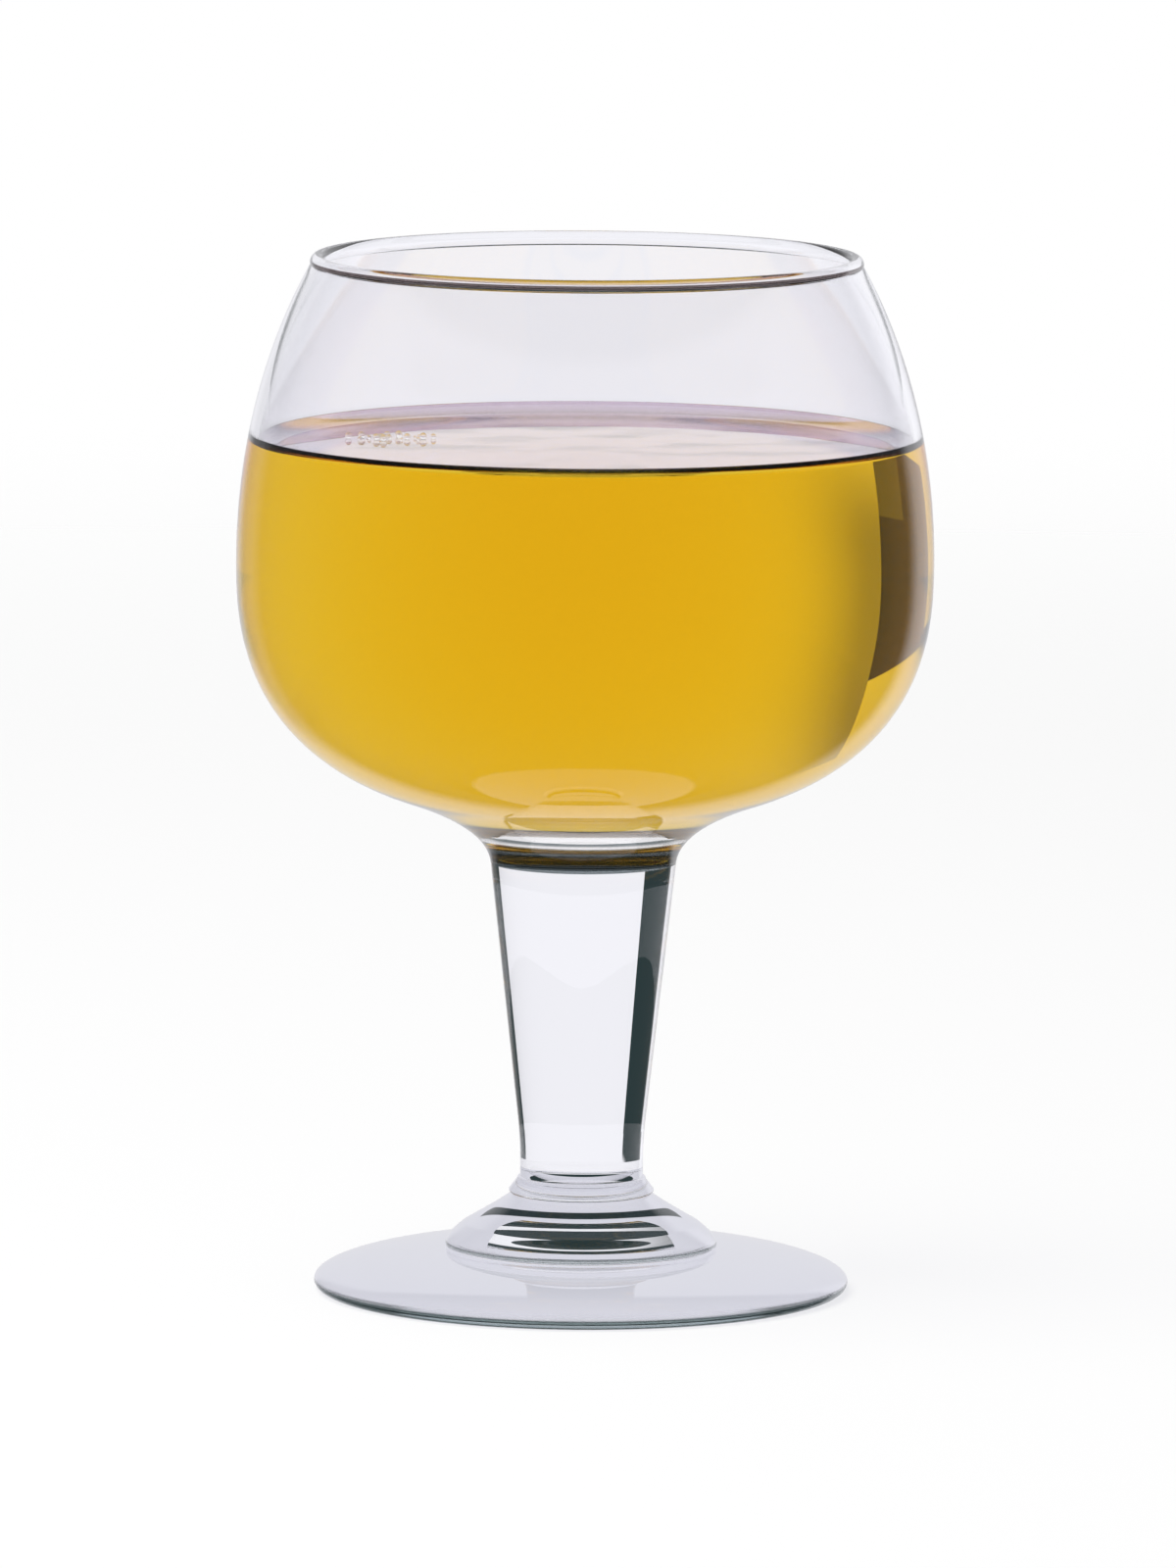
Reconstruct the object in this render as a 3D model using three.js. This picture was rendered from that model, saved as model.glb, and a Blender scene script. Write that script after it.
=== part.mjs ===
// Stemmed drinking glass with a drink in it.
// Millimetres, +Z up. The origin is the centre of the face that the foot stands on.
import * as THREE from 'three';

// Foot: a low domed disc
const FOOT_RADIUS = 34.6;
const FOOT_EDGE_HEIGHT = 1.3; // height of the widest line above the table
const FOOT_EDGE_ROUND = 1.7; // how far the rounding under that line reaches inwards
const FOOT_DOME_RISE = 4.4; // from the widest line up to where the dome would turn level
const FOOT_LEVEL_RADIUS = 8; // radius at which the dome would turn level

// Boss: the rounded button that stands on the foot and flares up to the collar
const BOSS_RADIUS = 17.6;
const BOSS_UNDERCUT = 0.4; // how far the boss draws in below its widest line
const BOSS_LIP_HEIGHT = 0.7; // height of the widest line above the foot
const BOSS_LIP_CORNER = 1.6; // height at which the lip's curve turns inwards
const BOSS_SHOULDER_INSET = 2.4; // from the widest line in to the shoulder
const BOSS_SHOULDER_HEIGHT = 3.4;
const BOSS_FLARE_REACH = 1.3; // how far out of the collar the flare's curve turns
const BOSS_FLARE_DROP = 1.1; // how far below the collar it turns
const BOSS_HEIGHT = 7.3;

// Collar: the ring between boss and stem
const COLLAR_BASE_RADIUS = 9.4;
const COLLAR_PROUD = 0.4; // how far its upper edge stands out of the stem
const COLLAR_EDGE_ROUND = 0.4;
const COLLAR_HEIGHT = 2.2;

// Stem: a solid bar that widens upwards above a short straight waist
const STEM_WAIST_RADIUS = 7.95;
const STEM_WAIST_LENGTH = 4.6;
const STEM_WAIST_BLEND = 3; // length of the curve on either side of the waist's end
const STEM_TOP_RADIUS = 12;
const STEM_LENGTH = 40.9;

// Bowl: round below the belly, drawn in above it, with a thickened rim
const BOWL_RADIUS = 45;
const BOWL_PAD_HEIGHT = 5.5; // solid glass between the stem and the lowest point of the round
const BOWL_DEPTH = 33.8; // from the belly down to that lowest point
const BOWL_FULLNESS = 2.5; // 2 is an ellipse, more is squarer
const BOWL_WALL_HEIGHT = 38.5; // from the belly up to the middle of the rim
const BOWL_DRAW_IN = 9.6; // how far the wall comes in from the belly to the rim
const WALL = 1.25;
const BOTTOM_WALL = 1.6;
const RIM_PROUD = 0.33; // how far the rim swells out of the wall on either side
const FILLET_RADIUS = 23.9; // where the curve down to the stem leaves the round
const FILLET_BOWL_PULL = 6; // how far that curve runs on along the round
const FILLET_STEM_PULL = 3.9; // how far it runs on along the stem

// Drink
const DRINK_DEPTH = 46.7; // from the inside bottom of the bowl up to the surface
const DRINK_CLEARANCE = 0.3;

// Fineness of the solids
const TURN_STEPS = 48;
const ROUND_STEPS = 12;
const WALL_STEPS = 8;
const CURVE_STEPS = 6;
const EDGE_STEPS = 4;

const QUARTER_TURN = Math.PI / 2;

// Heights at which the pieces meet
const SEAT_RADIUS = BOSS_RADIUS - BOSS_UNDERCUT;
const FOOT_TOP = FOOT_EDGE_HEIGHT + FOOT_DOME_RISE * Math.sin(domeAngle(SEAT_RADIUS));
const BOSS_TOP = FOOT_TOP + BOSS_HEIGHT;
const COLLAR_TOP = BOSS_TOP + COLLAR_HEIGHT;
const STEM_TOP = COLLAR_TOP + STEM_LENGTH;
const BELLY = BOWL_PAD_HEIGHT + BOWL_DEPTH; // above the top of the stem
const STEM_SLOPE = (STEM_TOP_RADIUS - STEM_WAIST_RADIUS) / (STEM_LENGTH - STEM_WAIST_LENGTH);

function point(radius, height) {
  return new THREE.Vector2(radius, height);
}

// Points of an elliptical arc that turns from one angle to a larger one
function arc(centre, across, up, from, to, steps) {
  return new THREE.EllipseCurve(centre.x, centre.y, across, up, from, to).getPoints(steps);
}

function bend(start, corner, end) {
  return new THREE.QuadraticBezierCurve(start, corner, end).getPoints(CURVE_STEPS);
}

// Angle on the foot's dome, seen from its centre line, at a given radius
function domeAngle(radius) {
  return Math.acos((radius - FOOT_LEVEL_RADIUS) / (FOOT_RADIUS - FOOT_LEVEL_RADIUS));
}

// A piece turned about the Z axis from its outline, which runs up its outside from axis to axis
function turned(name, outline, height, material) {
  const geometry = new THREE.LatheGeometry(outline, TURN_STEPS);
  geometry.rotateX(QUARTER_TURN);
  const mesh = new THREE.Mesh(geometry, material);
  mesh.name = name;
  mesh.position.z = height;
  return mesh;
}

function clearGlass() {
  return new THREE.MeshStandardMaterial({
    color: 0xebebf3, roughness: 0.04, metalness: 0, transparent: true, opacity: 0.35,
  });
}

function amberDrink() {
  return new THREE.MeshStandardMaterial({
    color: 0xdcab20, roughness: 0.06, metalness: 0, transparent: true, opacity: 0.85,
  });
}

function footOutline() {
  const edge = point(FOOT_RADIUS - FOOT_EDGE_ROUND, FOOT_EDGE_HEIGHT);
  const crown = point(FOOT_LEVEL_RADIUS, FOOT_EDGE_HEIGHT);
  const domeWidth = FOOT_RADIUS - FOOT_LEVEL_RADIUS;
  const dome = arc(crown, domeWidth, FOOT_DOME_RISE, 0, domeAngle(SEAT_RADIUS), ROUND_STEPS);
  return [
    point(0, 0),
    ...arc(edge, FOOT_EDGE_ROUND, FOOT_EDGE_HEIGHT, -QUARTER_TURN, 0, EDGE_STEPS),
    ...dome.slice(1),
    point(0, FOOT_TOP),
  ];
}

function bossOutline() {
  const topRadius = COLLAR_BASE_RADIUS - COLLAR_EDGE_ROUND;
  const lip = point(SEAT_RADIUS, BOSS_LIP_HEIGHT);
  const widest = point(BOSS_RADIUS, BOSS_LIP_HEIGHT);
  const lipCorner = point(BOSS_RADIUS, BOSS_LIP_CORNER);
  const shoulder = point(BOSS_RADIUS - BOSS_SHOULDER_INSET, BOSS_SHOULDER_HEIGHT);
  const flareCorner = point(topRadius + BOSS_FLARE_REACH, BOSS_HEIGHT - BOSS_FLARE_DROP);
  return [
    point(0, 0),
    ...arc(lip, BOSS_UNDERCUT, BOSS_LIP_HEIGHT, -QUARTER_TURN, 0, EDGE_STEPS),
    ...bend(widest, lipCorner, shoulder).slice(1),
    ...bend(shoulder, flareCorner, point(topRadius, BOSS_HEIGHT)).slice(1),
    point(0, BOSS_HEIGHT),
  ];
}

function collarOutline() {
  const round = COLLAR_EDGE_ROUND;
  const lower = point(COLLAR_BASE_RADIUS - round, round);
  const upper = point(STEM_WAIST_RADIUS + COLLAR_PROUD - round, COLLAR_HEIGHT - round);
  return [
    point(0, 0),
    ...arc(lower, round, round, -QUARTER_TURN, 0, EDGE_STEPS),
    ...arc(upper, round, round, 0, QUARTER_TURN, EDGE_STEPS),
    point(0, COLLAR_HEIGHT),
  ];
}

function stemOutline() {
  const waistEnd = point(STEM_WAIST_RADIUS, STEM_WAIST_LENGTH);
  const blendStart = point(STEM_WAIST_RADIUS, STEM_WAIST_LENGTH - STEM_WAIST_BLEND);
  const blendRadius = STEM_WAIST_RADIUS + STEM_SLOPE * STEM_WAIST_BLEND;
  const blendEnd = point(blendRadius, STEM_WAIST_LENGTH + STEM_WAIST_BLEND);
  return [
    point(0, 0),
    point(STEM_WAIST_RADIUS, 0),
    ...bend(blendStart, waistEnd, blendEnd),
    point(STEM_TOP_RADIUS, STEM_LENGTH),
    point(0, STEM_LENGTH),
  ];
}

// Half height of the ellipse that the wall follows above the belly, on the bowl's outside
function wallReach() {
  const mouth = (BOWL_RADIUS - BOWL_DRAW_IN) / BOWL_RADIUS;
  return BOWL_WALL_HEIGHT / Math.sqrt(1 - mouth * mouth);
}

// The bowl's curve set inwards by a wall, from a starting radius up to a height above the belly.
// Below the belly it is a superellipse, and above it an ellipse.
function bowlCurve(inset, bottomInset, startRadius, top) {
  const radius = BOWL_RADIUS - inset;
  const depth = BOWL_DEPTH - bottomInset;
  const reach = wallReach() - inset;
  const start = Math.acos((startRadius / radius) ** (BOWL_FULLNESS / 2));
  const end = Math.asin((Math.max(0, -top) / depth) ** (BOWL_FULLNESS / 2));
  const power = 2 / BOWL_FULLNESS;
  const points = [];
  for (let step = 0; step <= ROUND_STEPS; step += 1) {
    const angle = start + (end - start) * step / ROUND_STEPS;
    const across = Math.max(0, Math.cos(angle)) ** power;
    const down = Math.max(0, Math.sin(angle)) ** power;
    points.push(point(radius * across, BELLY - depth * down));
  }
  if (top > 0) {
    const wall = arc(point(0, BELLY), radius, reach, 0, Math.asin(top / reach), WALL_STEPS);
    points.push(...wall.slice(1));
  }
  return points;
}

// Direction in which the bowl's outside runs inwards and down at a given radius
function roundDirection(radius) {
  const share = radius / BOWL_RADIUS;
  const rest = (1 - share ** BOWL_FULLNESS) ** (1 / BOWL_FULLNESS - 1);
  const slope = BOWL_DEPTH / BOWL_RADIUS * share ** (BOWL_FULLNESS - 1) * rest;
  return point(-1, -slope).normalize();
}

// Rounded rim on the middle of the wall, from its outer foot over the top to its inner foot
function rimBead() {
  const halfWall = WALL / 2;
  const beadRadius = halfWall + RIM_PROUD;
  const across = BOWL_RADIUS - halfWall;
  const reach = wallReach() - halfWall;
  const place = Math.asin(BOWL_WALL_HEIGHT / reach);
  const centre = point(across * Math.cos(place), BELLY + BOWL_WALL_HEIGHT);
  const outward = Math.atan2(Math.sin(place) / reach, Math.cos(place) / across);
  const opening = Math.acos(halfWall / beadRadius);
  const to = outward + Math.PI + opening;
  return arc(centre, beadRadius, beadRadius, outward - opening, to, 2 * CURVE_STEPS);
}

function bowlOutline() {
  const rim = rimBead();
  const outerTop = rim[0].y - BELLY;
  const innerTop = rim[rim.length - 1].y - BELLY;
  const outside = bowlCurve(0, 0, FILLET_RADIUS, outerTop);
  const inside = bowlCurve(WALL, BOTTOM_WALL, 0, innerTop).reverse();
  const neck = point(STEM_TOP_RADIUS, 0);
  const alongStem = point(STEM_SLOPE, 1).normalize().multiplyScalar(FILLET_STEM_PULL);
  const alongRound = roundDirection(FILLET_RADIUS).multiplyScalar(FILLET_BOWL_PULL);
  const fillet = new THREE.CubicBezierCurve(
    neck, neck.clone().add(alongStem), outside[0].clone().add(alongRound), outside[0],
  );
  return [
    point(0, 0),
    ...fillet.getPoints(CURVE_STEPS),
    ...outside.slice(1, -1),
    ...rim,
    ...inside.slice(1),
  ];
}

// The drink fills the inside of the bowl up to its level, clear of the glass
function drinkOutline() {
  const level = DRINK_DEPTH - BOWL_DEPTH + BOTTOM_WALL;
  const wall = WALL + DRINK_CLEARANCE;
  const bottom = BOTTOM_WALL + DRINK_CLEARANCE;
  return [
    ...bowlCurve(wall, bottom, 0, level),
    point(0, BELLY + level),
  ];
}

const glass = new THREE.Group();
glass.add(
  turned('foot', footOutline(), 0, clearGlass()),
  turned('boss', bossOutline(), FOOT_TOP, clearGlass()),
  turned('collar', collarOutline(), BOSS_TOP, clearGlass()),
  turned('stem', stemOutline(), COLLAR_TOP, clearGlass()),
  turned('bowl', bowlOutline(), STEM_TOP, clearGlass()),
  turned('drink', drinkOutline(), STEM_TOP, amberDrink()),
);

export default glass;
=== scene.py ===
"""Looks of the stemmed glass: smooth turned glass, an amber drink with its meniscus, and a studio."""
import math

import bmesh
import bpy
from mathutils import Euler, Matrix, Vector


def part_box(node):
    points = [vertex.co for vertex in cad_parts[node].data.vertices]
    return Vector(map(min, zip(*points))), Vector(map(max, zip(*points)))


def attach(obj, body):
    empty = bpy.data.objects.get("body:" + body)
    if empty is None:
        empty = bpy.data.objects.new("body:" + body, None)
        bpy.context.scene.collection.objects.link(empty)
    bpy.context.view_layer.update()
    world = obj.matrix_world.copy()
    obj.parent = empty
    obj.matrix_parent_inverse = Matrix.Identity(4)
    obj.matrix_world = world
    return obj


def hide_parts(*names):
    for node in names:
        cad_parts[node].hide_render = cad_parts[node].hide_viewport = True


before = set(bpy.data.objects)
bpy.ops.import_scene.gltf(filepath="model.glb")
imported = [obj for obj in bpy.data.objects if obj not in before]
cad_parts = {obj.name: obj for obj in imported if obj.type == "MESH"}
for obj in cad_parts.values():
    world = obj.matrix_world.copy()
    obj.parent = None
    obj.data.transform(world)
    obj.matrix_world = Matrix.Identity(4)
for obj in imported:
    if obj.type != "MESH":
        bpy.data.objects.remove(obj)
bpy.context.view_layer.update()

# Turning: steps round the axis, and along the curves of an outline
TURN_STEPS = 160
FINE_STEPS = 32
EDGE_STEPS = 10
LINE_STEPS = 3
SAME_POINT = 1e-7
SHARP_ANGLE = math.radians(40)
QUARTER_TURN = math.pi / 2
FLAT_SHARES = (0.0, 0.4, 0.8, 0.985, 1.0)

# Shape values that the frame's boxes don't give, in metres
FOOT_EDGE_HEIGHT = 0.0013
FOOT_EDGE_ROUND = 0.0017
FOOT_LEVEL_RADIUS = 0.008
PUNTY_RADIUS = 0.009
GROUND_POINTS = 3
BOSS_UNDERCUT = 0.0004
BOSS_LIP_HEIGHT = 0.0007
BOSS_LIP_CORNER = 0.0016
BOSS_SHOULDER_INSET = 0.0024
BOSS_SHOULDER_HEIGHT = 0.0034
BOSS_FLARE_REACH = 0.0013
BOSS_FLARE_DROP = 0.0011
COLLAR_PROUD = 0.0004
COLLAR_EDGE_ROUND = 0.0004
STEM_WAIST_RADIUS = 0.00795
STEM_WAIST_LENGTH = 0.0046
STEM_WAIST_BLEND = 0.003
BOWL_PAD_HEIGHT = 0.0055
BOWL_DEPTH = 0.0338
BOWL_FULLNESS = 2.5
BOWL_DRAW_IN = 0.0096
BOWL_WALL_HEIGHT = 0.0385
WALL = 0.00125
BOTTOM_WALL = 0.0016
RIM_PROUD = 0.00033
RIM_LINE_STEPS = 5
FILLET_RADIUS = 0.0239
FILLET_BOWL_PULL = 0.006
FILLET_STEM_PULL = 0.0039
# Heights over the stem's top where the neck's painted shade is darkest, and from where it has faded out
NECK_DARK_TOP = 0.0015
NECK_CLEAR_FROM = 0.0034

# The drink: gaps and overlaps at the glass, the climb at the wall, and the bubbles
FILM = 0.00001
OVERLAP = 0.00004
MENISCUS_RISE = 0.0017
MENISCUS_REACH = 0.0011
MENISCUS_SPAN = 0.007
SURFACE_SHARES = (0.97, 0.8, 0.5, 0.2, 0.0)
# Height of the band of wall under the drink's edge that carries the painted meniscus line
CONTACT_LINE = 0.0005
SKIN_THICKNESS = 0.00005
BUBBLE_COUNT = 22
BUBBLE_RADIUS = 0.00035
BUBBLE_VARIETY = 0.4
BUBBLE_BEAT = 3
BUBBLE_SPREAD = 0.003
BUBBLE_STRETCH = 2
BUBBLE_PLACE = Vector((-0.0256, 0.009, 0))
BUBBLE_STEPS = 16
GOLDEN_ANGLE = math.pi * (3 - math.sqrt(5))

# Sizes read from the frame
FOOT_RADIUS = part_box("foot")[1].x
FOOT_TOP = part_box("foot")[1].z
BOSS_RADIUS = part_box("boss")[1].x
BOSS_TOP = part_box("boss")[1].z
COLLAR_BASE_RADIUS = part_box("collar")[1].x
COLLAR_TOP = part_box("collar")[1].z
STEM_TOP_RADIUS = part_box("stem")[1].x
STEM_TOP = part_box("stem")[1].z
BOWL_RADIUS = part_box("bowl")[1].x
DRINK_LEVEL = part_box("drink")[1].z

# Sizes that follow from the others
SEAT_RADIUS = BOSS_RADIUS - BOSS_UNDERCUT
BELLY = STEM_TOP + BOWL_PAD_HEIGHT + BOWL_DEPTH
STEM_SLOPE = (STEM_TOP_RADIUS - STEM_WAIST_RADIUS) / (STEM_TOP - COLLAR_TOP - STEM_WAIST_LENGTH)
WALL_REACH = BOWL_WALL_HEIGHT / math.sqrt(1 - ((BOWL_RADIUS - BOWL_DRAW_IN) / BOWL_RADIUS) ** 2)
CONTACT_HEIGHT = DRINK_LEVEL + MENISCUS_RISE - BELLY

# Material slots of the stretches of an outline
BODY = 0
JOINT = 1
FOOT_GROUND = 2
FOOT_EDGE = 3
BOWL_WET = 2
BOWL_LINE = 3
BOWL_RIM = 4
BOWL_NECK = 5


def arc(centre, across, up, start, end, steps):
    """Points along part of an ellipse."""
    points = []
    for step in range(steps + 1):
        angle = start + (end - start) * step / steps
        points.append((centre[0] + across * math.cos(angle), centre[1] + up * math.sin(angle)))
    return points


def bezier(corners, steps=FINE_STEPS):
    """Points of a Bezier curve of any degree, by repeated blending of its control lines."""
    points = []
    for step in range(steps + 1):
        t = step / steps
        row = [Vector(c) for c in corners]
        while len(row) > 1:
            row = [a.lerp(b, t) for a, b in zip(row, row[1:])]
        points.append(tuple(row[0]))
    return points


def flat(outer, height):
    """Points along a flat face, with a line close inside its edge so that its shading stays flat."""
    return [(share * outer, height) for share in FLAT_SHARES]


def put(name, data):
    """Put a mesh, a lamp or a camera into the scene."""
    piece = bpy.data.objects.new(name, data)
    bpy.context.collection.objects.link(piece)
    return piece


def joined(stretches):
    """One outline from its stretches, and the material slot of each step along it."""
    outline = []
    slots = []
    for slot, points in stretches:
        for place in points:
            if outline and math.dist(outline[-1], place) < SAME_POINT:
                continue
            if outline:
                slots.append(slot)
            outline.append(place)
    return outline, slots


def ring_face(low, high, step):
    """The face between two rings at a step round the axis. A ring on the axis is a single point."""
    after = (step + 1) % TURN_STEPS
    if len(low) == 1:
        return (low[0], high[after], high[step])
    if len(high) == 1:
        return (low[step], low[after], high[0])
    return (low[step], low[after], high[after], high[step])


def turned(name, stretches, materials):
    """A closed body turned about Z. Each stretch of its outline is (material slot, points)."""
    outline, slots = joined(stretches)
    verts = []
    rings = []
    for radius, height in outline:
        if radius < SAME_POINT:
            rings.append([len(verts)])
            verts.append((0.0, 0.0, height))
            continue
        rings.append(list(range(len(verts), len(verts) + TURN_STEPS)))
        for step in range(TURN_STEPS):
            angle = 2 * math.pi * step / TURN_STEPS
            verts.append((radius * math.cos(angle), radius * math.sin(angle), height))
    faces = []
    face_slots = []
    for low, high, slot in zip(rings, rings[1:], slots):
        faces += [ring_face(low, high, step) for step in range(TURN_STEPS)]
        face_slots += [slot] * TURN_STEPS
    mesh = bpy.data.meshes.new(name)
    mesh.from_pydata(verts, [], faces)
    for material in materials:
        mesh.materials.append(material)
    mesh.polygons.foreach_set("material_index", face_slots)
    mesh.polygons.foreach_set("use_smooth", [True] * len(faces))
    mesh.set_sharp_from_angle(angle=SHARP_ANGLE)
    mesh.update()
    return put(name, mesh)


# Outlines
def dome_angle(radius):
    return math.acos((radius - FOOT_LEVEL_RADIUS) / (FOOT_RADIUS - FOOT_LEVEL_RADIUS))


def foot_stretches():
    rise = (FOOT_TOP - FOOT_EDGE_HEIGHT) / math.sin(dome_angle(SEAT_RADIUS))
    width = FOOT_RADIUS - FOOT_LEVEL_RADIUS
    top = (FOOT_LEVEL_RADIUS, FOOT_EDGE_HEIGHT)
    edge = (FOOT_RADIUS - FOOT_EDGE_ROUND, FOOT_EDGE_HEIGHT)
    punty = [(0.0, 0.0), (PUNTY_RADIUS, 0.0)]
    ground = flat(edge[0], 0.0)[-GROUND_POINTS:]
    rounding = arc(edge, FOOT_EDGE_ROUND, FOOT_EDGE_HEIGHT, -QUARTER_TURN, 0, 2 * EDGE_STEPS)
    dome = arc(top, width, rise, 0, dome_angle(SEAT_RADIUS), 2 * FINE_STEPS)
    seat = flat(SEAT_RADIUS, FOOT_TOP)[::-1]
    return [(BODY, punty), (FOOT_GROUND, ground), (FOOT_EDGE, rounding), (BODY, dome), (JOINT, seat)]


def boss_stretches():
    top_radius = COLLAR_BASE_RADIUS - COLLAR_EDGE_ROUND
    lip_centre = (SEAT_RADIUS, FOOT_TOP + BOSS_LIP_HEIGHT)
    lip = arc(lip_centre, BOSS_UNDERCUT, BOSS_LIP_HEIGHT, -QUARTER_TURN, 0, EDGE_STEPS)
    widest = (BOSS_RADIUS, FOOT_TOP + BOSS_LIP_HEIGHT)
    lip_corner = (BOSS_RADIUS, FOOT_TOP + BOSS_LIP_CORNER)
    shoulder = (BOSS_RADIUS - BOSS_SHOULDER_INSET, FOOT_TOP + BOSS_SHOULDER_HEIGHT)
    flare_corner = (top_radius + BOSS_FLARE_REACH, BOSS_TOP - BOSS_FLARE_DROP)
    side = bezier([widest, lip_corner, shoulder]) + bezier([shoulder, flare_corner, (top_radius, BOSS_TOP)])
    return [
        (JOINT, flat(SEAT_RADIUS, FOOT_TOP + FILM)),
        (BODY, lip + side),
        (JOINT, flat(top_radius, BOSS_TOP)[::-1]),
    ]


def collar_stretches():
    rounding = COLLAR_EDGE_ROUND
    lower = (COLLAR_BASE_RADIUS - rounding, BOSS_TOP + rounding)
    upper = (STEM_WAIST_RADIUS + COLLAR_PROUD - rounding, COLLAR_TOP - rounding)
    side = arc(lower, rounding, rounding, -QUARTER_TURN, 0, EDGE_STEPS)
    side += arc(upper, rounding, rounding, 0, QUARTER_TURN, EDGE_STEPS)
    return [
        (JOINT, flat(lower[0], BOSS_TOP + FILM)),
        (BODY, side),
        (JOINT, flat(upper[0], COLLAR_TOP)[::-1]),
    ]


def stem_stretches():
    waist = COLLAR_TOP + STEM_WAIST_LENGTH
    blend_top = (STEM_WAIST_RADIUS + STEM_SLOPE * STEM_WAIST_BLEND, waist + STEM_WAIST_BLEND)
    waist_curve = bezier([
        (STEM_WAIST_RADIUS, waist - STEM_WAIST_BLEND), (STEM_WAIST_RADIUS, waist), blend_top
    ])
    return [
        (JOINT, flat(STEM_WAIST_RADIUS, COLLAR_TOP + FILM)),
        (BODY, [(STEM_WAIST_RADIUS, COLLAR_TOP + FILM)] + waist_curve + [(STEM_TOP_RADIUS, STEM_TOP)]),
        (JOINT, flat(STEM_TOP_RADIUS, STEM_TOP)[::-1]),
    ]


def round_curve(inset, bottom_inset, start_radius):
    """The bowl's superellipse below the belly, set in by a wall, from a radius out to the belly."""
    radius = BOWL_RADIUS - inset
    depth = BOWL_DEPTH - bottom_inset
    start = math.acos((start_radius / radius) ** (BOWL_FULLNESS / 2))
    power = 2 / BOWL_FULLNESS
    steps = 2 * FINE_STEPS
    points = []
    for step in range(steps + 1):
        angle = start * (1 - step / steps)
        across = max(0.0, math.cos(angle)) ** power
        down = max(0.0, math.sin(angle)) ** power
        points.append((radius * across if angle < QUARTER_TURN else 0.0, BELLY - depth * down))
    return points


def wall_curve(inset, low, high, steps=FINE_STEPS):
    """The bowl's ellipse above the belly, set in by a wall, between two heights over the belly."""
    radius = BOWL_RADIUS - inset
    reach = WALL_REACH - inset
    return arc((0, BELLY), radius, reach, math.asin(low / reach), math.asin(high / reach), steps)


def rim_bead():
    """The rounded, thickened rim, from its outer side over the top to its inner side."""
    half = WALL / 2
    bead = half + RIM_PROUD
    across = BOWL_RADIUS - half
    reach = WALL_REACH - half
    place = math.asin(BOWL_WALL_HEIGHT / reach)
    centre = (across * math.cos(place), BELLY + BOWL_WALL_HEIGHT)
    outward = math.atan2(math.sin(place) / reach, math.cos(place) / across)
    opening = math.acos(half / bead)
    return arc(centre, bead, bead, outward - opening, outward + math.pi + opening, FINE_STEPS)


def fillet_curve(leave):
    """The neck from the stem's top out to the point where the round of the bowl begins."""
    share = FILLET_RADIUS / BOWL_RADIUS
    rest = (1 - share ** BOWL_FULLNESS) ** (1 / BOWL_FULLNESS - 1)
    slope = BOWL_DEPTH / BOWL_RADIUS * share ** (BOWL_FULLNESS - 1) * rest
    along_round = Vector((-1, -slope)).normalized() * FILLET_BOWL_PULL
    along_stem = Vector((STEM_SLOPE, 1)).normalized() * FILLET_STEM_PULL
    neck = Vector((STEM_TOP_RADIUS, STEM_TOP))
    return bezier([neck, neck + along_stem, leave + along_round, leave])


def bowl_stretches():
    rim = rim_bead()
    outside = round_curve(0, 0, FILLET_RADIUS)
    fillet = fillet_curve(Vector(outside[0]))
    outer_wall = wall_curve(0, 0, rim[0][1] - BELLY)[:-1]
    wet_top = CONTACT_HEIGHT - CONTACT_LINE
    dry = wall_curve(WALL, CONTACT_HEIGHT, rim[-1][1] - BELLY)[:-1][::-1]
    line = wall_curve(WALL, wet_top, CONTACT_HEIGHT, LINE_STEPS)[::-1]
    wet = wall_curve(WALL, 0, wet_top)[::-1] + round_curve(WALL, BOTTOM_WALL, 0)[::-1]
    return [
        (JOINT, flat(STEM_TOP_RADIUS, STEM_TOP + FILM)),
        (BOWL_NECK, fillet),
        (BODY, outside + outer_wall + rim[:1]),
        (BOWL_RIM, rim[:RIM_LINE_STEPS]),
        (BODY, rim[RIM_LINE_STEPS - 1:] + dry),
        (BOWL_LINE, line),
        (BOWL_WET, wet),
    ]


def drink_surface(edge):
    """Points along the drink's top, from the climb at the wall in to the axis."""
    surface = []
    for step in range(FINE_STEPS + 1):
        away = MENISCUS_SPAN * (step / FINE_STEPS) ** 2
        rise = MENISCUS_RISE * math.exp(-away / MENISCUS_REACH)
        surface.append((edge - away, DRINK_LEVEL + rise))
    level = surface[-1][1]
    inside = edge - MENISCUS_SPAN
    return surface + [(inside * share, level) for share in SURFACE_SHARES]


def drink_stretches():
    wall = WALL - OVERLAP
    contact = round_curve(wall, BOTTOM_WALL - OVERLAP, 0) + wall_curve(wall, 0, CONTACT_HEIGHT)
    return [(BODY, contact + drink_surface(contact[-1][0]))]


def skin_stretches():
    """A thin film on the drink that bends light more than the drink does, so that it mirrors the backdrop
    at a low angle; its lilac tint is painted reflection.
    """
    edge = wall_curve(WALL + OVERLAP, 0, CONTACT_HEIGHT)[-1][0]
    top = drink_surface(edge)
    under = [(radius, height + FILM) for radius, height in top[::-1]]
    over = [(radius, height + FILM + SKIN_THICKNESS) for radius, height in top]
    return [(BODY, under + over)]


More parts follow.
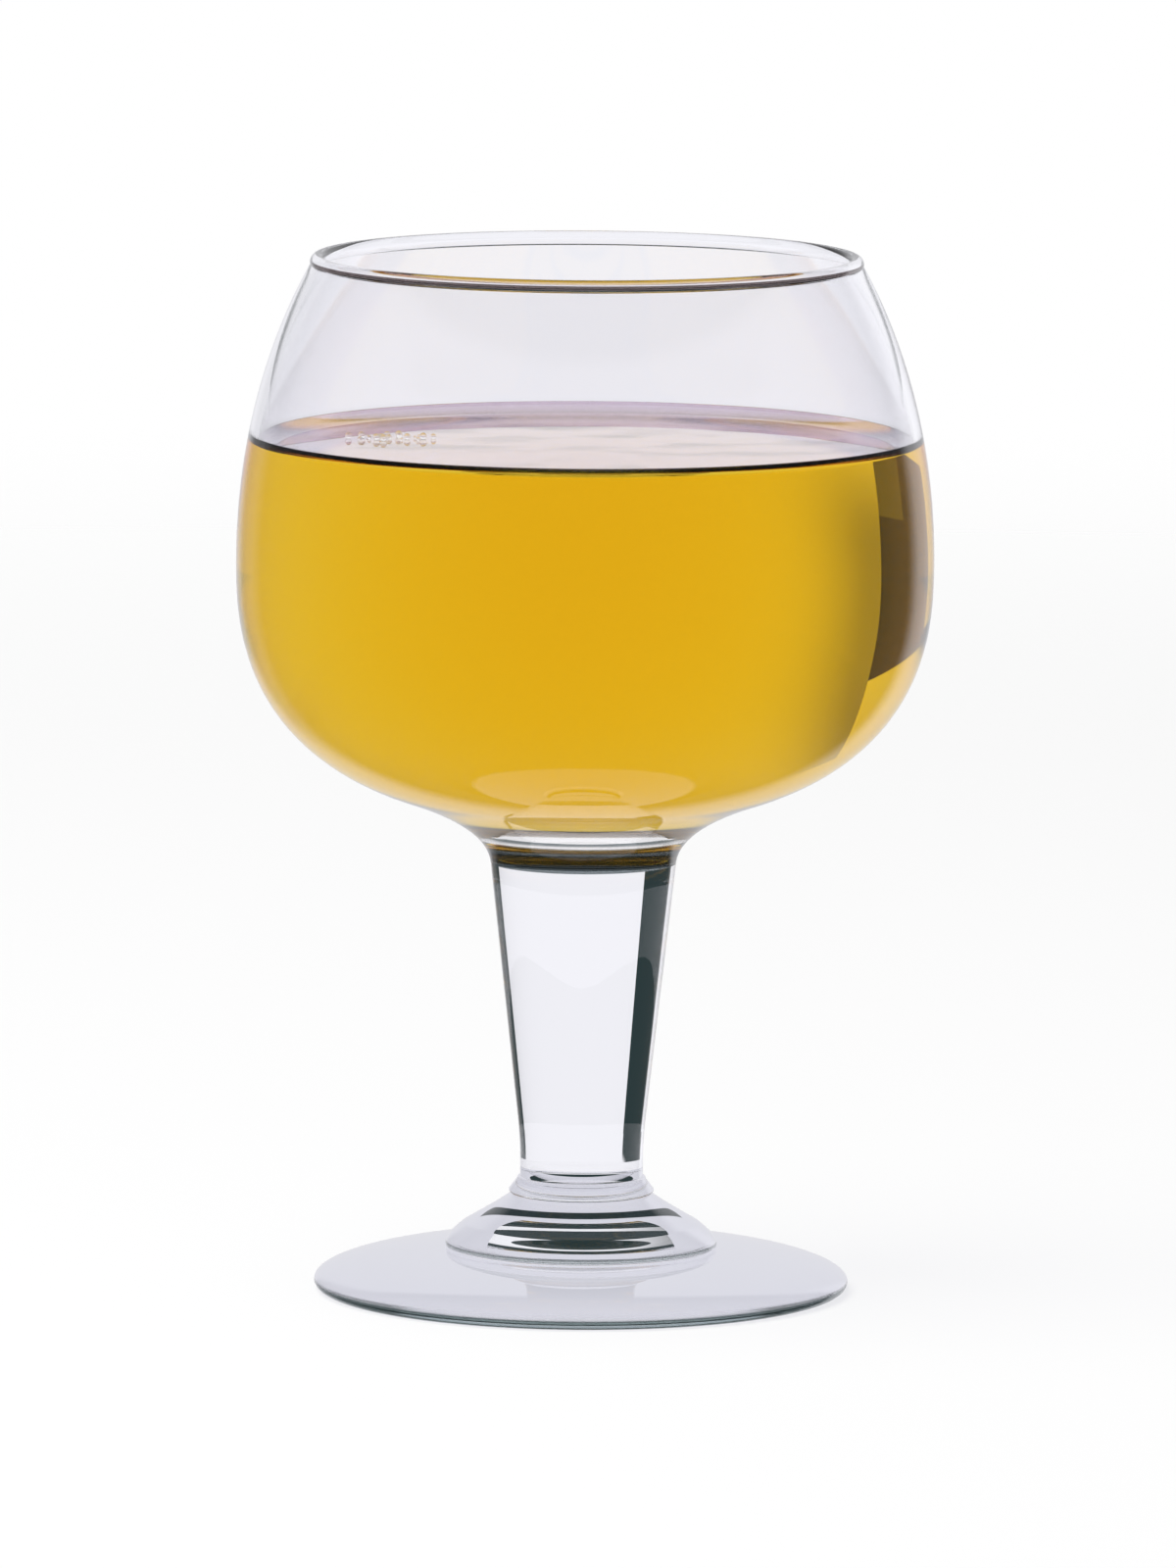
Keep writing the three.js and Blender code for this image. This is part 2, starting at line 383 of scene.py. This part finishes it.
def bubbles(name, material):
    """A small cluster of bubbles on the drink, laid out on a spiral."""
    mesh = bpy.data.meshes.new(name)
    cluster = bmesh.new()
    for count in range(BUBBLE_COUNT):
        angle = count * GOLDEN_ANGLE
        out = BUBBLE_SPREAD * math.sqrt(count / BUBBLE_COUNT)
        radius = BUBBLE_RADIUS * (1 + BUBBLE_VARIETY * math.sin(BUBBLE_BEAT * count))
        across = BUBBLE_STRETCH * out * math.cos(angle)
        place = BUBBLE_PLACE + Vector((across, out * math.sin(angle), DRINK_LEVEL + radius))
        bmesh.ops.create_uvsphere(
            cluster, u_segments=BUBBLE_STEPS, v_segments=BUBBLE_STEPS // 2, radius=radius,
            matrix=Matrix.Translation(place)
        )
    for face in cluster.faces:
        face.smooth = True
    cluster.to_mesh(mesh)
    cluster.free()
    mesh.materials.append(material)
    return put(name, mesh)


# Material values
GLASS_IOR = 1.5
DRINK_IOR = 1.34
GROUND_IOR = 1.05
SKIN_IOR = 2.0
NO_BEND = 1.0
GROUND_ROUGHNESS = 0.2
WAVES = 0.02
WAVE_SCALE = 55
WAVE_DETAIL = 1.5
WAVE_DEPTH = 0.001
CLOUD_DETAIL = 2
DRINK_CLOUD_SCALE = 30
SKIN_CLOUD_SCALE = 60
GROUND_CLOUD_SCALE = 90
FOAM_CLOUD_SCALE = 400
CLEAR = (1.0, 1.0, 1.0)
GLASS_TINT = (0.965, 0.965, 0.985)
GLASS_SHADE = (0.95, 0.95, 0.96)
FOOT_EDGE_PAINTED_SHADE = (0.2, 0.27, 0.27)
GROUND_PAINTED_SHADE = (0.56, 0.565, 0.64)
GROUND_PAINTED_SHADE_CLOUD = (0.53, 0.535, 0.61)
FOOT_SHADE = (0.8, 0.8, 0.84)
NECK_PAINTED_SHADE = (0.05, 0.065, 0.07)
RIM_PAINTED_SHADE = (0.03, 0.02, 0.02)
MENISCUS_FRONT_PAINTED_SHADE = (0.02, 0.03, 0.025)
MENISCUS_BACK_PAINTED_SHADE = (0.8, 0.72, 0.78)
AMBER = (0.975, 0.863, 0.0)
AMBER_DENSITY = 61
DRINK_CLOUD = (0.97, 0.95, 0.9)
SKIN_PAINTED_REFLECTION = (0.9, 0.8, 0.95)
SKIN_PAINTED_REFLECTION_CLOUD = (0.86, 0.76, 0.93)


# Node helpers
def new_material(name):
    material = bpy.data.materials.new(name)
    material.use_nodes = True
    tree = material.node_tree
    tree.nodes.clear()
    return material, tree


def add(tree, kind, **values):
    node = tree.nodes.new(kind)
    for key, value in values.items():
        setattr(node, key, value)
    return node


def ramp(tree, source, low, high, start=0.0, end=1.0):
    """A smooth step of a value, from start at low to end at high."""
    node = add(tree, "ShaderNodeMapRange", interpolation_type="SMOOTHSTEP")
    node.inputs["From Min"].default_value = low
    node.inputs["From Max"].default_value = high
    node.inputs["To Min"].default_value = start
    node.inputs["To Max"].default_value = end
    tree.links.new(source, node.inputs["Value"])
    return node.outputs["Result"]


def calc(tree, kind, first, second):
    """The result of one math operation on two values, each a number or a node's output."""
    node = add(tree, "ShaderNodeMath", operation=kind)
    for place, value in enumerate((first, second)):
        if isinstance(value, float):
            node.inputs[place].default_value = value
        else:
            tree.links.new(value, node.inputs[place])
    return node.outputs[0]


def blend(tree, factor, first, second):
    node = add(tree, "ShaderNodeMixShader")
    tree.links.new(factor, node.inputs[0])
    tree.links.new(first.outputs[0], node.inputs[1])
    tree.links.new(second.outputs[0], node.inputs[2])
    return node


def object_axes(tree):
    """The X, Y and Z of a place on an object."""
    where = add(tree, "ShaderNodeTexCoord")
    axes = add(tree, "ShaderNodeSeparateXYZ")
    tree.links.new(where.outputs["Object"], axes.inputs[0])
    return axes.outputs


def soft_noise(tree, scale, detail):
    where = add(tree, "ShaderNodeTexCoord")
    noise = add(tree, "ShaderNodeTexNoise")
    noise.inputs["Scale"].default_value = scale
    noise.inputs["Detail"].default_value = detail
    tree.links.new(where.outputs["Object"], noise.inputs["Vector"])
    return noise.outputs["Fac"]


def show(tree, shader):
    out = add(tree, "ShaderNodeOutputMaterial")
    tree.links.new(shader.outputs[0], out.inputs["Surface"])


def clear_body(name, ior, tint, shade, waves=0.0, roughness=0.0, gloss=1.0):
    """A clear solid: it bends light by ior, is tinted, and lets lamps through with a tinted shade."""
    material, tree = new_material(name)
    body = add(tree, "ShaderNodeBsdfPrincipled")
    body.inputs["Transmission Weight"].default_value = 1.0
    body.inputs["Roughness"].default_value = roughness
    body.inputs["IOR"].default_value = ior
    body.inputs["Specular Tint"].default_value = (gloss, gloss, gloss, 1)
    body.inputs["Base Color"].default_value = (*tint, 1)
    if waves:
        bump = add(tree, "ShaderNodeBump")
        bump.inputs["Strength"].default_value = waves
        bump.inputs["Distance"].default_value = WAVE_DEPTH
        tree.links.new(soft_noise(tree, WAVE_SCALE, WAVE_DETAIL), bump.inputs["Height"])
        tree.links.new(bump.outputs["Normal"], body.inputs["Normal"])
    through = add(tree, "ShaderNodeBsdfTransparent")
    through.inputs["Color"].default_value = (*shade, 1)
    path = add(tree, "ShaderNodeLightPath")
    show(tree, blend(tree, path.outputs["Is Shadow Ray"], body, through))
    return material


def absorb(material, colour, density):
    """Colour a clear body by what its inside absorbs."""
    tree = material.node_tree
    volume = add(tree, "ShaderNodeVolumeAbsorption")
    volume.inputs["Color"].default_value = (*colour, 1)
    volume.inputs["Density"].default_value = density
    out = next(n for n in tree.nodes if n.type == "OUTPUT_MATERIAL")
    tree.links.new(volume.outputs[0], out.inputs["Volume"])


def tint_by(material, factor, first, second):
    """Give a clear body a tint that runs from first to second with a factor."""
    tree = material.node_tree
    mix = add(tree, "ShaderNodeMix", data_type="RGBA")
    mix.inputs["A"].default_value = (*first, 1)
    mix.inputs["B"].default_value = (*second, 1)
    body = next(n for n in tree.nodes if n.type == "BSDF_PRINCIPLED")
    tree.links.new(factor, mix.inputs["Factor"])
    tree.links.new(mix.outputs["Result"], body.inputs["Base Color"])


def two_sided(material, outside, inside):
    """Paint a line by the side of its surface that is seen, from outside the glass or through it: painted
    shade for the rim and meniscus lines.
    """
    side = add(material.node_tree, "ShaderNodeNewGeometry")
    tint_by(material, side.outputs["Backfacing"], outside, inside)


def tint_by_height(material, low, high, first, second):
    """Tint a clear body from first at the height low to second at the height high."""
    tree = material.node_tree
    tint_by(material, ramp(tree, object_axes(tree)["Z"], low, high), first, second)


def mottle(material, first, second, scale):
    """Vary a clear body's tint a little, in soft clouds."""
    tint_by(material, soft_noise(material.node_tree, scale, CLOUD_DETAIL), first, second)


# Materials
glass = clear_body("clear_glass", GLASS_IOR, GLASS_TINT, GLASS_SHADE, WAVES)
foot_glass = clear_body("foot_glass", GLASS_IOR, GLASS_TINT, FOOT_SHADE, WAVES)
# The foot's underside is frosted glass. Its grey, softly mottled tint is painted shade: it stands in for
# the shade under the foot, which the floor seen through glass doesn't show.
ground = clear_body("ground_glass", GROUND_IOR, GROUND_PAINTED_SHADE, FOOT_SHADE, roughness=GROUND_ROUGHNESS)
mottle(ground, GROUND_PAINTED_SHADE, GROUND_PAINTED_SHADE_CLOUD, GROUND_CLOUD_SCALE)
# The foot's rounded edge is tinted dark: painted shade for the dark lines along the foot's edge.
foot_edge_painted_shade = clear_body("foot_edge_painted_shade", GLASS_IOR, FOOT_EDGE_PAINTED_SHADE, FOOT_SHADE, WAVES)
joint = clear_body("fused_joint", NO_BEND, CLEAR, CLEAR)
wet = clear_body("wet_glass", GLASS_IOR, GLASS_TINT, GLASS_SHADE, WAVES, gloss=0.0)
# The band of wall at the drink's edge is painted near black where it is seen through the glass, and a paler
# lilac where it is seen from inside the bowl. Both are painted shade for the lines that refraction at the
# meniscus gives.
line = clear_body("painted_contact_line", GLASS_IOR, MENISCUS_FRONT_PAINTED_SHADE, GLASS_SHADE, gloss=0.0)
two_sided(line, MENISCUS_BACK_PAINTED_SHADE, MENISCUS_FRONT_PAINTED_SHADE)
# The outer part of the rim bead is near black where it is seen from outside and clear through the glass: a
# painted dark line on the rim.
rim_painted_shade = clear_body("rim_painted_shade", GLASS_IOR, RIM_PAINTED_SHADE, GLASS_SHADE)
two_sided(rim_painted_shade, RIM_PAINTED_SHADE, GLASS_TINT)
# The neck is tinted near black just above the stem, fading to clear glass higher up: painted shade for the
# dark band at the bowl's fillet.
neck = clear_body("neck_painted_shade", GLASS_IOR, NECK_PAINTED_SHADE, GLASS_SHADE, WAVES)
tint_by_height(neck, STEM_TOP + NECK_DARK_TOP, STEM_TOP + NECK_CLEAR_FROM, NECK_PAINTED_SHADE, GLASS_TINT)
amber = clear_body("amber_drink", DRINK_IOR, CLEAR, CLEAR, WAVES, gloss=0.0)
mottle(amber, CLEAR, DRINK_CLOUD, DRINK_CLOUD_SCALE)
absorb(amber, AMBER, AMBER_DENSITY)
# The film's mirroring is real, from its strong bending of light; its lilac, softly mottled tint is painted
# reflection.
skin = clear_body("drink_film", SKIN_IOR, SKIN_PAINTED_REFLECTION, CLEAR, WAVES)
mottle(skin, SKIN_PAINTED_REFLECTION, SKIN_PAINTED_REFLECTION_CLOUD, SKIN_CLOUD_SCALE)
foam = clear_body("bubbles", DRINK_IOR, CLEAR, CLEAR, WAVES)
mottle(foam, CLEAR, DRINK_CLOUD, FOAM_CLOUD_SCALE)

# Pieces
pieces = {
    "foot": turned("foot_glass", foot_stretches(), [foot_glass, joint, ground, foot_edge_painted_shade]),
    "boss": turned("boss_glass", boss_stretches(), [glass, joint]),
    "collar": turned("collar_glass", collar_stretches(), [glass, joint]),
    "stem": turned("stem_glass", stem_stretches(), [glass, joint]),
    "bowl": turned("bowl_glass", bowl_stretches(), [glass, joint, wet, line, rim_painted_shade, neck]),
    "drink": turned("drink_body", drink_stretches(), [amber]),
    "skin": turned("drink_film", skin_stretches(), [skin]),
    "bubbles": bubbles("bubbles", foam),
}
for name, piece in pieces.items():
    is_drink = name in ("drink", "skin", "bubbles")
    piece.visible_diffuse = False
    piece.visible_shadow = not is_drink
    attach(piece, "root")
    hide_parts("drink" if is_drink else name)

# Stage values: colours, and the parts of the room that reflections show
BACKDROP = (0.965, 0.965, 1.0)
DARK_ROOM = (0.022, 0.04, 0.042)
FLOOR_COLOUR = (0.93, 0.93, 0.93)
FLOOR_REACH = 1.2
FLOOR_FADE = (0.5, 1.1)
FLOOR_LEVEL = -0.00002
BACKDROP_TOP = math.radians(34)
BACKDROP_FADE = math.radians(40)
FRONT_LIMITS = (0.82, 0.68)
LEFT_LIMITS = (-0.45, -0.25)
RIGHT_LIMITS = (0.25, 0.45)
FRONT_GLEAM = 0.12
LEFT_GLEAM = 0.4
BACK_GLEAM = 0.8
RIGHT_GLEAM = 1.0
FILL_LIGHT = 0.6


def glow(tree, colour):
    node = add(tree, "ShaderNodeEmission")
    node.inputs["Color"].default_value = (*colour, 1)
    return node


def make_floor():
    """A pale floor that fades into the backdrop. Through glass it is as plain as the backdrop."""
    low, high = -FLOOR_REACH, FLOOR_REACH
    mesh = bpy.data.meshes.new("floor")
    corners = [(low, low), (high, low), (high, high), (low, high)]
    mesh.from_pydata([(x, y, FLOOR_LEVEL) for x, y in corners], [], [(0, 1, 2, 3)])
    floor = put("floor", mesh)
    floor.visible_glossy = False
    material, tree = new_material("floor")
    diffuse = add(tree, "ShaderNodeBsdfDiffuse")
    diffuse.inputs["Color"].default_value = (*FLOOR_COLOUR, 1)
    clear = add(tree, "ShaderNodeBsdfTransparent")
    where = add(tree, "ShaderNodeTexCoord")
    length = add(tree, "ShaderNodeVectorMath", operation="LENGTH")
    tree.links.new(where.outputs["Object"], length.inputs[0])
    fading = blend(tree, ramp(tree, length.outputs["Value"], *FLOOR_FADE), diffuse, clear)
    path = add(tree, "ShaderNodeLightPath")
    show(tree, blend(tree, path.outputs["Is Transmission Ray"], fading, glow(tree, BACKDROP)))
    mesh.materials.append(material)


def backdrop(tree, colour, strength=1.0):
    node = add(tree, "ShaderNodeBackground")
    node.inputs["Color"].default_value = (*colour, 1)
    node.inputs["Strength"].default_value = strength
    return node


def make_world():
    """White for the camera; glass also sees where the bright backdrop ends, and the dim front."""
    world = bpy.data.worlds.new("studio")
    bpy.context.scene.world = world
    world.use_nodes = True
    tree = world.node_tree
    tree.nodes.clear()
    path = add(tree, "ShaderNodeLightPath")
    where = add(tree, "ShaderNodeTexCoord")
    axes = add(tree, "ShaderNodeSeparateXYZ")
    tree.links.new(where.outputs["Generated"], axes.inputs[0])
    above = ramp(tree, axes.outputs["Z"], math.sin(BACKDROP_TOP), math.sin(BACKDROP_FADE))
    front = ramp(tree, axes.outputs["Y"], *FRONT_LIMITS)
    middle = ramp(tree, axes.outputs["X"], *LEFT_LIMITS)
    right = ramp(tree, axes.outputs["X"], *RIGHT_LIMITS)
    seen = blend(tree, above, backdrop(tree, BACKDROP), backdrop(tree, DARK_ROOM))
    dim = backdrop(tree, BACKDROP, FRONT_GLEAM)
    edge = blend(tree, middle, backdrop(tree, BACKDROP, LEFT_GLEAM), backdrop(tree, BACKDROP, BACK_GLEAM))
    edge = blend(tree, right, edge, backdrop(tree, BACKDROP, RIGHT_GLEAM))
    gleam = blend(tree, front, blend(tree, above, edge, dim), dim)
    lit = blend(tree, path.outputs["Is Glossy Ray"], backdrop(tree, CLEAR, FILL_LIGHT), gleam)
    lit = blend(tree, path.outputs["Is Transmission Ray"], lit, seen)
    lit = blend(tree, path.outputs["Is Camera Ray"], lit, backdrop(tree, CLEAR))
    out = add(tree, "ShaderNodeOutputWorld")
    tree.links.new(lit.outputs[0], out.inputs["Surface"])


# Flags: dark boards round the glass that only refracted light shows, at the glass's edges.
# Bearings are in degrees from the back, heights in metres.
FLAG_STEPS = 32
FLAG_DISTANCE = 0.4
LOW_FLAG_DISTANCE = 0.12
FULL_DARK = (1.0, 1.0)
STEM_STRIP = (-29.5, -62)
STEM_LEFT = (55, 80)
STEM_HEIGHTS = (0, 0.09)
WAIST_STRIP = (-28, -62)
WAIST_LEFT = (52, 78)
WAIST_HEIGHTS = (0, 0.018)
BOWL_VEIL = (-4, -30.6)
BOWL_VEIL_HEIGHTS = (0, 0.25)
BOWL_VEIL_DARK = (0, 0.6)
BOWL_STRIP = (-30.6, -39)
BOWL_STRIP_HEIGHTS = (0.034, 0.144)
BOWL_BLOCK_HEIGHTS = (0, 0.034)
BOWL_BLOCK_DARK = (0.88, 0.88)
BOWL_EDGE = (-39, -56)
BOWL_EDGE_HEIGHTS = (0, 0.144)
BOSS_BACK = (-180, 36)
BOSS_SIDE = (75, 180)
BOSS_HEIGHTS = (0.125, 0.168)
ALL_ROUND = (-180, 180)
FILLET_HEIGHTS = (0.2, 0.45)

# Where light leaves a piece, how far it then goes to a flag, and what it has crossed
STEM_EXIT = 0.04
WAIST_EXIT = 0.023
BOWL_EXIT = 0.085
BOSS_EXIT = 0.015
FILLET_EXIT = 0.057
BOWL_TRAVEL = (0.3595, 0.373)
BOWL_EDGE_TRAVEL = (0.3655, 0.3705)
BOSS_TRAVEL = (0.367, 0.373)
FILLET_TRAVEL = (0.376, 0.381)
STEM_EDGE_SHARE = (1.35, 1.2)
STEM_RIM_SHARE = (0.7, 0.5)
WAIST_EDGE_SHARE = (0.92, 0.84)
VEIL_RISE = (0.0, 0.045)
BAR_CROSSINGS = (3.6, 3.4)
DRINK_CROSSINGS = (4.4, 4.6)

# Shade on the floor under the foot: inner and outer radius, and the angles of crescents
SHADE_LEVEL = -0.00001
SHADE_SLANT = (0.2, 0.3)
FULL_CIRCLE = (0, 360)
PUNTY_SHADE = (0.0002, 0.009)
PUNTY_BACK = (0.009, 0.012)
PUNTY_BACK_ANGLES = (45, 135)
EDGE_SHADE = (0.0332, 0.05)
EDGE_RIGHT = (0.0306, 0.0332)
EDGE_RIGHT_ANGLES = (272, 352)
EDGE_LEFT = (0.0316, 0.0332)
EDGE_LEFT_ANGLES = (185, 245)


def travel(tree, height, exit_height):
    """How far sideways the light came from the glass, if it left at exit_height."""
    path = add(tree, "ShaderNodeLightPath")
    climb = calc(tree, "SUBTRACT", height, exit_height)
    whole = calc(tree, "POWER", path.outputs["Ray Length"], 2.0)
    upright = calc(tree, "MULTIPLY", climb, climb)
    return calc(tree, "SQRT", calc(tree, "SUBTRACT", whole, upright), 0.0)


def crossings(tree, limits):
    """1 or 0 by how many glass surfaces the light has crossed: few for the stem, more for the drink."""
    path = add(tree, "ShaderNodeLightPath")
    return ramp(tree, path.outputs["Transmission Depth"], *limits)


def off_stem_edge(tree, height, limits=STEM_EDGE_SHARE):
    """1 for light that left the stem near its edge, 0 for light through its middle."""
    above_waist = calc(tree, "SUBTRACT", height, COLLAR_TOP + STEM_WAIST_LENGTH)
    wider = calc(tree, "MAXIMUM", calc(tree, "MULTIPLY", above_waist, STEM_SLOPE), 0.0)
    radius = calc(tree, "ADD", wider, STEM_WAIST_RADIUS)
    deep = calc(tree, "SUBTRACT", FLAG_DISTANCE, travel(tree, height, STEM_EXIT))
    near_edge = ramp(tree, calc(tree, "DIVIDE", deep, radius), *limits)
    return calc(tree, "MULTIPLY", near_edge, crossings(tree, BAR_CROSSINGS))


def off_stem_rim(tree, height):
    """The same for the outermost line of the stem."""
    return off_stem_edge(tree, height, STEM_RIM_SHARE)


def off_waist_edge(tree, height, limits=WAIST_EDGE_SHARE):
    """1 for light that left the stem's narrow lower end near its edge, on the low flags."""
    deep = calc(tree, "SUBTRACT", LOW_FLAG_DISTANCE, travel(tree, height, WAIST_EXIT))
    near_edge = ramp(tree, calc(tree, "DIVIDE", deep, STEM_WAIST_RADIUS), *limits)
    return calc(tree, "MULTIPLY", near_edge, crossings(tree, BAR_CROSSINGS))


def off_waist_rim(tree, height):
    return off_waist_edge(tree, height, STEM_RIM_SHARE)


def off_bowl(tree, height):
    """Rises towards 1 for light that left the filled bowl away from its middle."""
    far = ramp(tree, travel(tree, height, BOWL_EXIT), *BOWL_TRAVEL)
    risen = calc(tree, "MULTIPLY", far, ramp(tree, height, *VEIL_RISE))
    return calc(tree, "MULTIPLY", risen, crossings(tree, DRINK_CROSSINGS))


def off_bowl_edge(tree, height):
    """1 for light that left the filled bowl near its edge."""
    near_edge = ramp(tree, travel(tree, height, BOWL_EXIT), *BOWL_EDGE_TRAVEL)
    return calc(tree, "MULTIPLY", near_edge, crossings(tree, DRINK_CROSSINGS))


def off_boss(tree, height):
    return ramp(tree, travel(tree, height, BOSS_EXIT), *BOSS_TRAVEL)


def off_fillet(tree, height):
    return ramp(tree, travel(tree, height, FILLET_EXIT), *FILLET_TRAVEL)


def show_dark(tree, amount):
    """A board that is dark by an amount and clear by the rest."""
    clear = add(tree, "ShaderNodeBsdfTransparent")
    show(tree, blend(tree, amount, clear, glow(tree, DARK_ROOM)))


def stand(name, mesh):
    """Put a dark board on the stage, where only refracted light meets it."""
    piece = put(name, mesh)
    piece.visible_camera = False
    piece.visible_diffuse = False
    piece.visible_glossy = False
    piece.visible_shadow = False


def flag(name, bearings, heights, shows, darkness=FULL_DARK, distance=FLAG_DISTANCE):
    """A dark board bent round the glass. It shows to the light that the function shows picks out."""
    mesh = bpy.data.meshes.new(name)
    first, last = (math.radians(b) for b in bearings)
    verts = []
    for step in range(FLAG_STEPS + 1):
        bearing = first + (last - first) * step / FLAG_STEPS
        x = distance * math.sin(bearing)
        y = distance * math.cos(bearing)
        verts += [(x, y, heights[0]), (x, y, heights[1])]
    faces = [(v, v + 2, v + 3, v + 1) for v in range(0, 2 * FLAG_STEPS, 2)]
    mesh.from_pydata(verts, [], faces)
    material, tree = new_material(name)
    axes = object_axes(tree)
    bearing = calc(tree, "ARCTAN2", axes["X"], axes["Y"])
    dark = ramp(tree, bearing, first, last, *darkness)
    show_dark(tree, calc(tree, "MULTIPLY", dark, shows(tree, axes["Z"])))
    mesh.materials.append(material)
    stand(name, mesh)


def shade_ring(name, radii, angles=FULL_CIRCLE):
    """A dark ring on the floor close under the glass, or a crescent of one between two angles."""
    inner, outer = radii
    start, end = angles
    mesh = bpy.data.meshes.new(name)
    verts = []
    for step in range(TURN_STEPS + 1):
        share = step / TURN_STEPS
        angle = math.radians(start + (end - start) * share)
        width = outer - inner
        if angles != FULL_CIRCLE:
            width *= math.sin(math.pi * share)
        for radius in (outer - width, outer):
            verts.append((radius * math.cos(angle), radius * math.sin(angle), SHADE_LEVEL))
    faces = [(v, v + 1, v + 3, v + 2) for v in range(0, 2 * TURN_STEPS, 2)]
    mesh.from_pydata(verts, [], faces)
    material, tree = new_material(name)
    weight = add(tree, "ShaderNodeLayerWeight")
    show_dark(tree, ramp(tree, weight.outputs["Facing"], *SHADE_SLANT))
    mesh.materials.append(material)
    stand(name, mesh)


def make_flags():
    flag("stem_flag", STEM_STRIP, STEM_HEIGHTS, off_stem_edge)
    flag("left_flag", STEM_LEFT, STEM_HEIGHTS, off_stem_rim)
    flag("bowl_veil", BOWL_VEIL, BOWL_VEIL_HEIGHTS, off_bowl, BOWL_VEIL_DARK)
    flag("bowl_mauve", BOWL_STRIP, BOWL_BLOCK_HEIGHTS, off_bowl_edge, BOWL_BLOCK_DARK)
    flag("bowl_flag", BOWL_STRIP, BOWL_STRIP_HEIGHTS, off_bowl_edge)
    flag("bowl_edge", BOWL_EDGE, BOWL_EDGE_HEIGHTS, off_bowl_edge)
    flag("boss_ring", BOSS_BACK, BOSS_HEIGHTS, off_boss)
    flag("boss_ring_side", BOSS_SIDE, BOSS_HEIGHTS, off_boss)
    flag("fillet_ring", ALL_ROUND, FILLET_HEIGHTS, off_fillet)
    flag("low_flag", WAIST_STRIP, WAIST_HEIGHTS, off_waist_edge, distance=LOW_FLAG_DISTANCE)
    flag("low_left", WAIST_LEFT, WAIST_HEIGHTS, off_waist_rim, distance=LOW_FLAG_DISTANCE)
    shade_ring("under_punty", PUNTY_SHADE)
    shade_ring("behind_punty", PUNTY_BACK, PUNTY_BACK_ANGLES)
    shade_ring("under_edge", EDGE_SHADE)
    shade_ring("edge_right", EDGE_RIGHT, EDGE_RIGHT_ANGLES)
    shade_ring("edge_left", EDGE_LEFT, EDGE_LEFT_ANGLES)


# Lamp, camera and render settings
LAMP_SIZE = 3.0
LAMP_POWER = 72
LAMP_PLACE = Vector((-1.2, -0.6, 3.2))
LAMP_TARGET = Vector((0, 0, 0.05))
CAMERA_PLACE = Vector((0, -1.95, 0.315))
CAMERA_TARGET = Vector((0.00054, 0, 0.066))
CAMERA_ROLL = math.radians(0.355)
SENSOR_WIDTH = 36
FOCAL_PIXELS = 15530
LONG_SIDE_PIXELS = 1600
GLASS_BOUNCES = 32
GLOSSY_BOUNCES = 16


def aimed(place, target):
    """The turn of a lamp or camera at a place that looks at a target."""
    return (target - place).to_track_quat("-Z", "Y")


def make_lamp():
    """One large softbox above."""
    data = bpy.data.lights.new("softbox", "AREA")
    data.shape = "DISK"
    data.size = LAMP_SIZE
    data.energy = LAMP_POWER
    lamp = put("softbox", data)
    lamp.location = LAMP_PLACE
    lamp.rotation_euler = aimed(LAMP_PLACE, LAMP_TARGET).to_euler()
    lamp.visible_glossy = False
    lamp.visible_transmission = False


def make_camera():
    """A camera at the photograph's viewing angle."""
    data = bpy.data.cameras.new("camera")
    data.sensor_width = SENSOR_WIDTH
    data.lens = SENSOR_WIDTH * FOCAL_PIXELS / LONG_SIDE_PIXELS
    camera = put("camera", data)
    camera.location = CAMERA_PLACE
    roll = Euler((0, 0, CAMERA_ROLL)).to_quaternion()
    camera.rotation_euler = (aimed(CAMERA_PLACE, CAMERA_TARGET) @ roll).to_euler()
    bpy.context.scene.camera = camera


def set_up_scene():
    scene = bpy.context.scene
    scene.view_settings.view_transform = "Standard"
    scene.cycles.max_bounces = GLASS_BOUNCES
    scene.cycles.transmission_bounces = GLASS_BOUNCES
    scene.cycles.glossy_bounces = GLOSSY_BOUNCES
    scene.cycles.transparent_max_bounces = GLASS_BOUNCES


make_floor()
make_world()
make_flags()
make_lamp()
make_camera()
set_up_scene()
